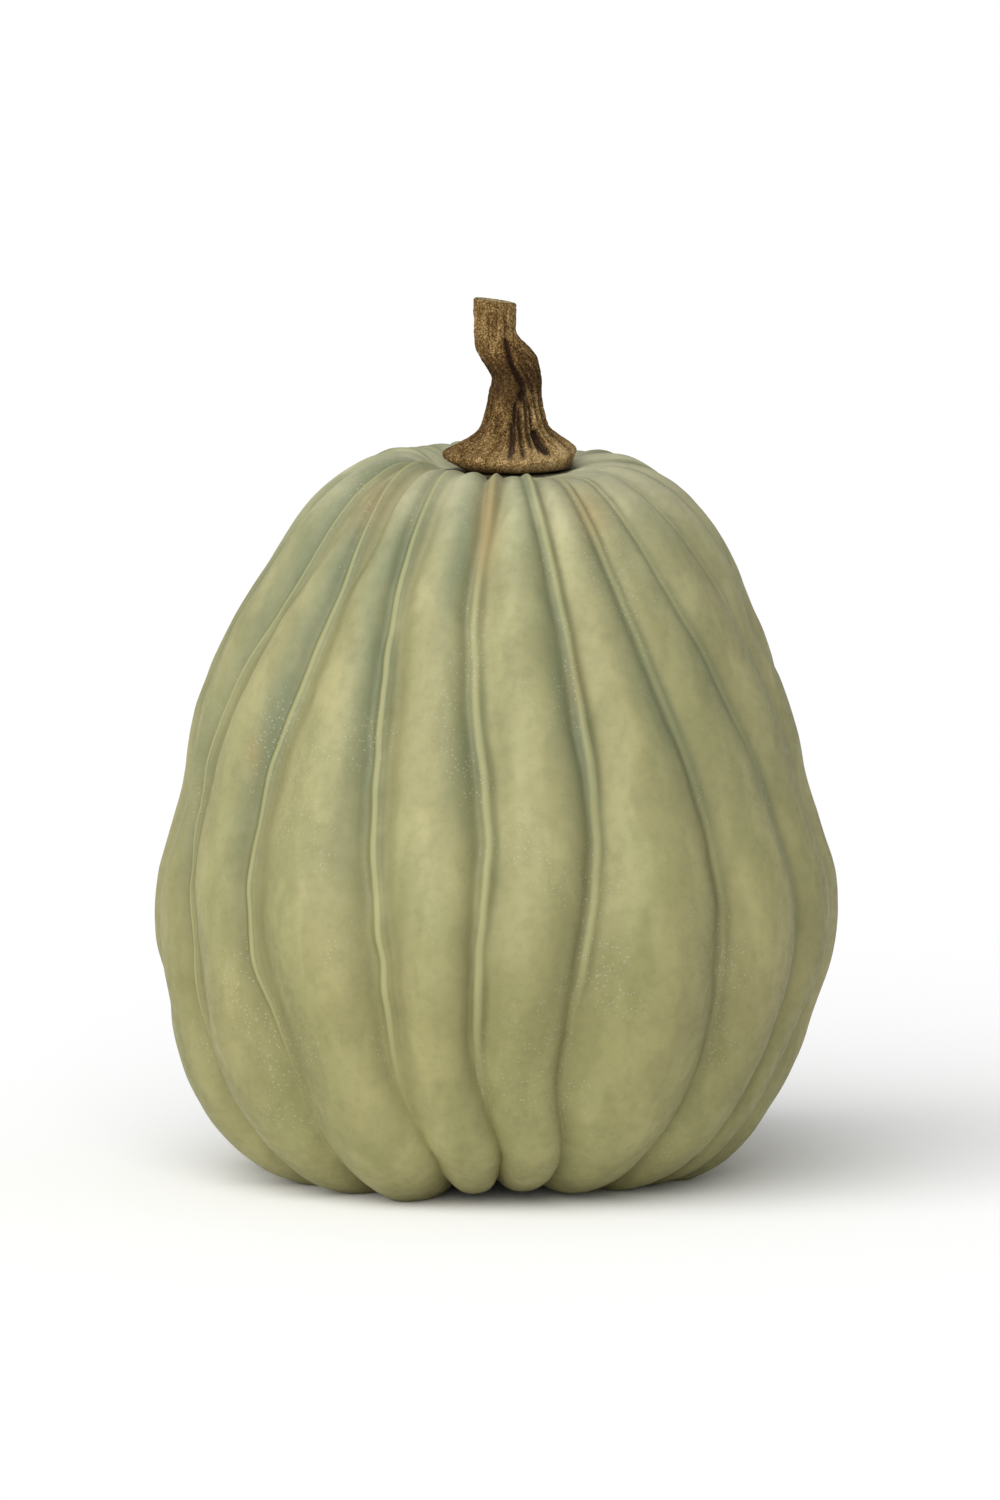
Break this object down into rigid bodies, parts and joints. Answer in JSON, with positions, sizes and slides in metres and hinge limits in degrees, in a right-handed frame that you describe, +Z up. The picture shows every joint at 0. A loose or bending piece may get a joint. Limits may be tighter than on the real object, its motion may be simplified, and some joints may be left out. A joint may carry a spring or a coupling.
{
  "type": "pumpkin",
  "caption": "Tall ribbed pumpkin with rounded lobes, a thin raised vein in each groove and a fluted, twisted woody stem on a flared foot.",
  "frame": {"origin": "on the surface that the fruit stands on, under the middle of the fruit", "axes": "+Z up along the height of the fruit, -Y towards the pictured front, +X to the right seen from the front"},
  "size_m": [0.303, 0.3024, 0.3902],
  "materials": {
    "pumpkin_skin": "satin sage-green vegetable skin, khaki on the lobes, blue-green along the grooves, faint pale speckles",
    "stem_bark": "dry rough bark-brown stalk with golden raised fibres and dark purple-brown crevices"
  },
  "bodies": {
    "root": {"fruit": "pumpkin_skin", "stem": "stem_bark"}
  },
  "joints": []
}
